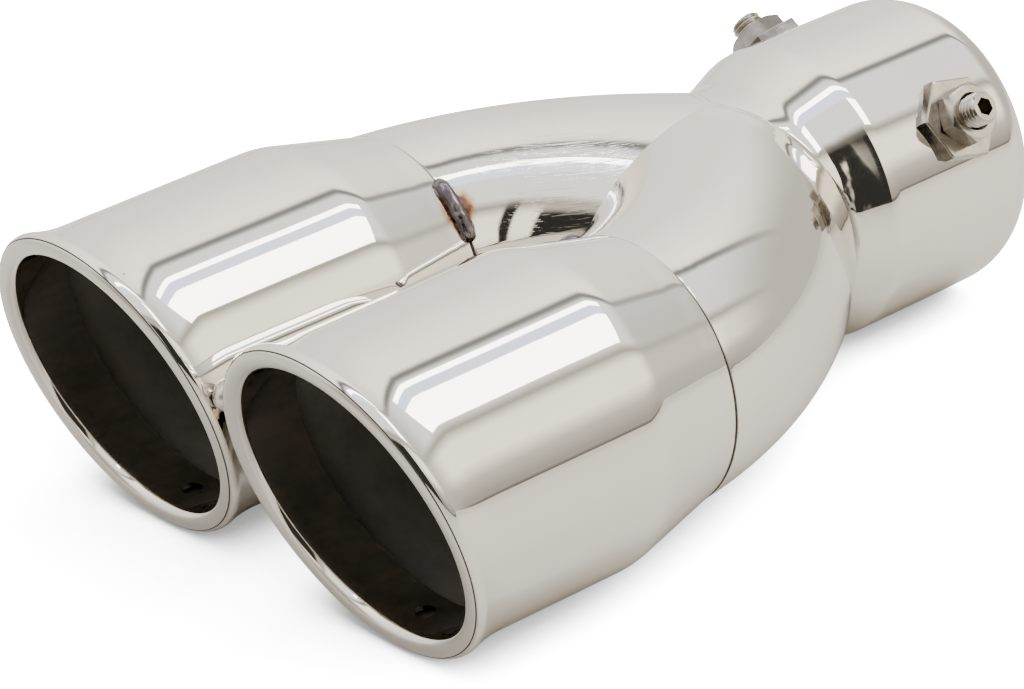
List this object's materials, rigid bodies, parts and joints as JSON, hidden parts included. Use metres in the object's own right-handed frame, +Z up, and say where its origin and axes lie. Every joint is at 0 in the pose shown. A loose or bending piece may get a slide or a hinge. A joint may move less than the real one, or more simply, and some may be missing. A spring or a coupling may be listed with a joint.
{
  "type": "twin exhaust tip",
  "caption": "Polished tailpipe tip that splits from one clamped round inlet into twin slash-cut outlets with rolled lips.",
  "frame": {"origin": "centre of the inlet rim, on the collar's axis", "axes": "+Y out of the inlet towards the tailpipe, +Z up, outlets pointing to -Y and side by side along X"},
  "size_m": [0.1596, 0.2291, 0.0781],
  "materials": {
    "polished_stainless": "mirror polished",
    "zinc_steel": "dull plated",
    "weld_metal": "as welded"
  },
  "bodies": {
    "tip": {"inlet_collar": "polished_stainless", "left_leg": "polished_stainless", "right_leg": "polished_stainless", "left_outlet": "polished_stainless", "right_outlet": "polished_stainless", "weld_nut_left": "zinc_steel", "weld_nut_right": "zinc_steel", "lock_nut_left": "zinc_steel", "lock_nut_right": "zinc_steel", "outlet_tack_weld": "weld_metal", "seam_weld_left": "weld_metal", "seam_weld_right": "weld_metal"},
    "right_screw": {"clamp_screw_right": "zinc_steel"},
    "left_screw": {"clamp_screw_left": "zinc_steel"}
  },
  "joints": [
    {"name": "right_screw_in", "type": "slide", "parent": "tip", "child": "right_screw", "axis": [-0.8387, 0, -0.5446], "range_m": [0, 0.006]},
    {"name": "left_screw_in", "type": "slide", "parent": "tip", "child": "left_screw", "axis": [0.8387, 0, -0.5446], "range_m": [0, 0.006]}
  ]
}
